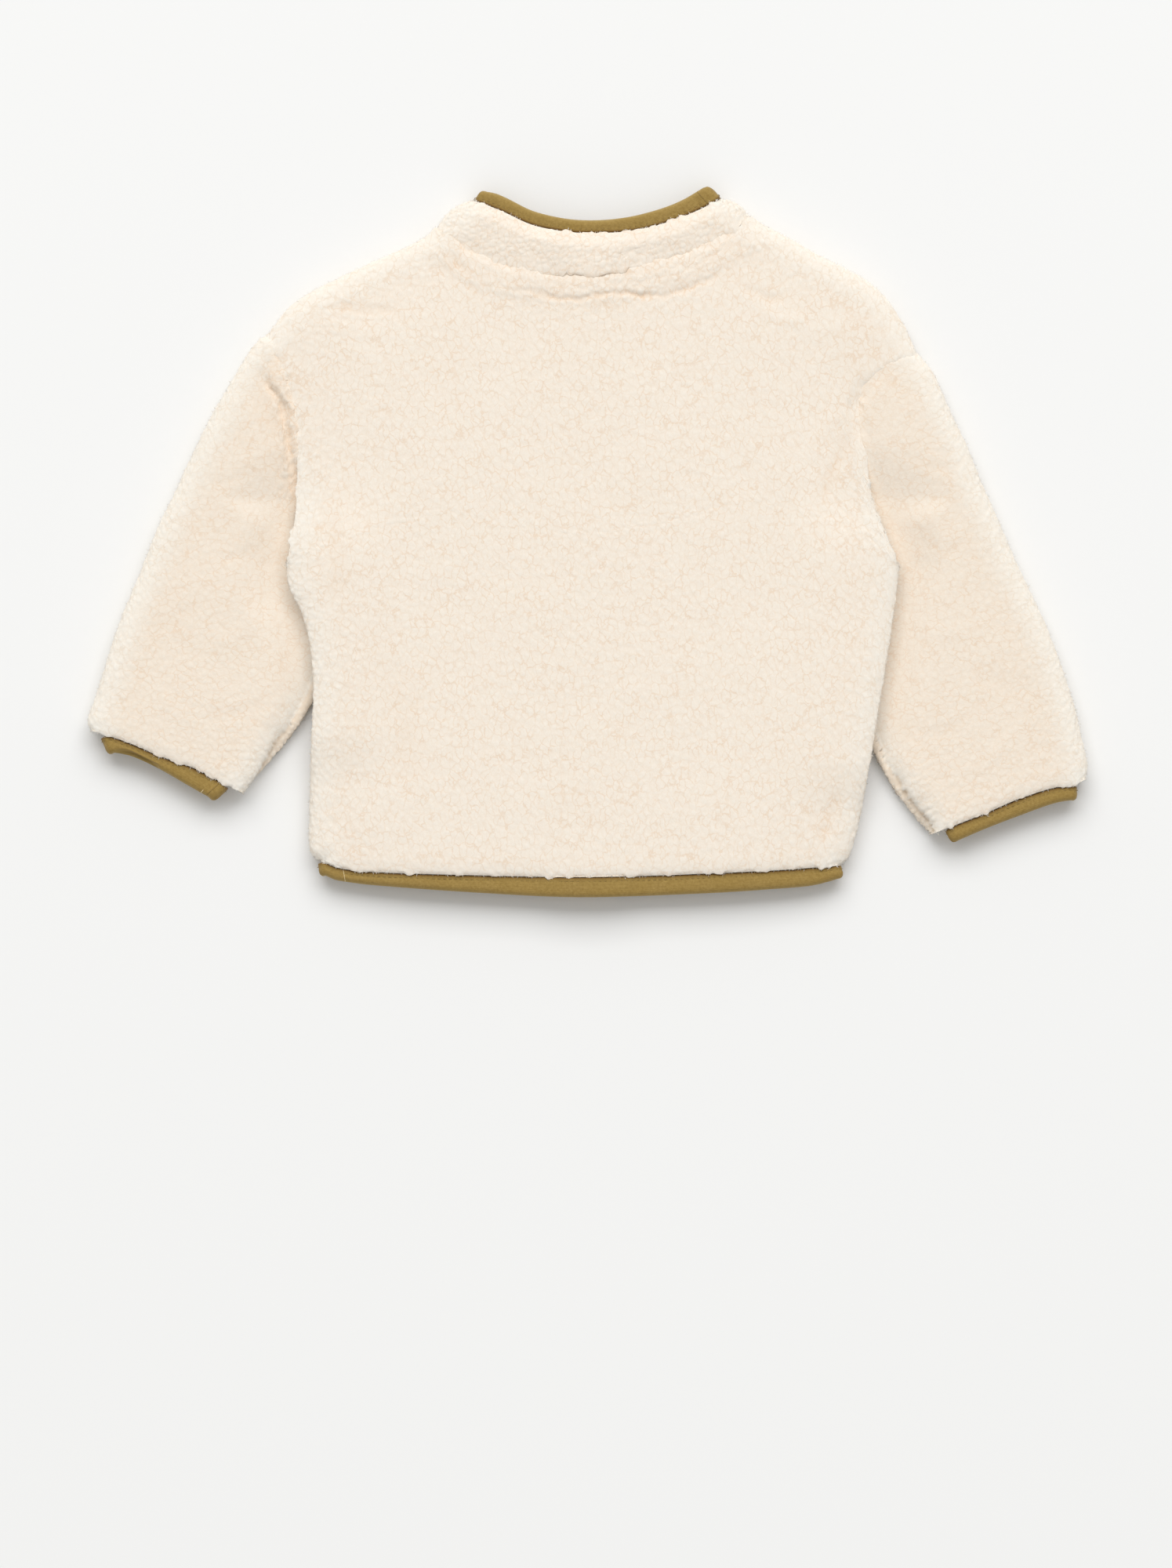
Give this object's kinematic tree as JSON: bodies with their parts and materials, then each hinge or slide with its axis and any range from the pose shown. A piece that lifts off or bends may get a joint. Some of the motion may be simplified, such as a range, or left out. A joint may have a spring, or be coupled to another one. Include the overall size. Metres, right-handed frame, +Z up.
{
  "type": "sherpa cardigan",
  "caption": "Baby's thick sherpa fleece cardigan with a stand collar, set-in sleeves and folded binding at every edge, laid flat on its closed front with its back up.",
  "frame": {"origin": "on the surface that the garment lies on, under the middle of its bounding box", "axes": "+Z up from that surface, +Y towards the collar, -X towards the left sleeve, which is at the left when seen from above with the back up"},
  "size_m": [0.5356, 0.3808, 0.0253],
  "materials": {
    "sherpa": "cream curly polyester pile on a knitted backing",
    "binding": "olive cotton jersey, folded over the edge and stitched",
    "press_stud": "dull antique brass"
  },
  "bodies": {
    "root": {"back": "sherpa", "front_left": "sherpa", "front_right": "sherpa", "sleeve_left": "sherpa", "sleeve_right": "sherpa", "collar": "sherpa", "neck_binding": "binding", "hem_binding": "binding", "cuff_binding_left": "binding", "cuff_binding_right": "binding", "front_binding_left": "binding", "front_binding_right": "binding", "press_stud_1": "press_stud", "press_stud_2": "press_stud", "press_stud_3": "press_stud", "press_stud_4": "press_stud", "press_stud_5": "press_stud", "press_stud_6": "press_stud"}
  },
  "joints": []
}
